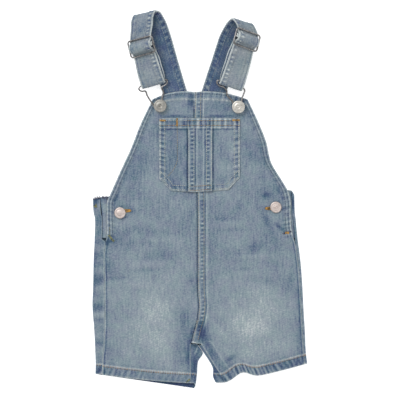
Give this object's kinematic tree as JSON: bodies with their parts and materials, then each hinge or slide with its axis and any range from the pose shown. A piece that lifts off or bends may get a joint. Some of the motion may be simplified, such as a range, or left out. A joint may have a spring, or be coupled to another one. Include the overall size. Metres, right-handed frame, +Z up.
{
  "type": "dungarees",
  "caption": "Toddler's light-wash denim dungarees with short legs, laid flat: bib with seamed pocket, folded straps through wire sliders to hooks on bib buttons, buttoned side openings.",
  "frame": {"origin": "centre of the bounding box in plan, on the surface that the garment lies on", "axes": "+Y towards the straps, +X towards the right of the view from above, +Z up out of the front of the garment"},
  "size_m": [0.2836, 0.4984, 0.0282],
  "materials": {
    "denim": "light-wash cotton denim, faded on the thighs and along the seams",
    "strap_denim": "the same denim folded double, darker on its inner face",
    "wire": "dull nickel-plated wire",
    "button_metal": "satin pewter-coloured metal"
  },
  "bodies": {
    "root": {"back_left": "denim", "back_right": "denim", "stand_left": "denim", "stand_right": "denim", "front_left": "denim", "front_right": "denim", "pocket_left": "denim", "pocket_centre": "denim", "pocket_right": "denim", "strap_left": "strap_denim", "strap_right": "strap_denim", "slider_left": "wire", "slider_right": "wire", "hook_left": "wire", "hook_right": "wire", "bib_button_left": "button_metal", "bib_button_right": "button_metal", "side_button_left": "button_metal", "side_button_right": "button_metal"}
  },
  "joints": []
}
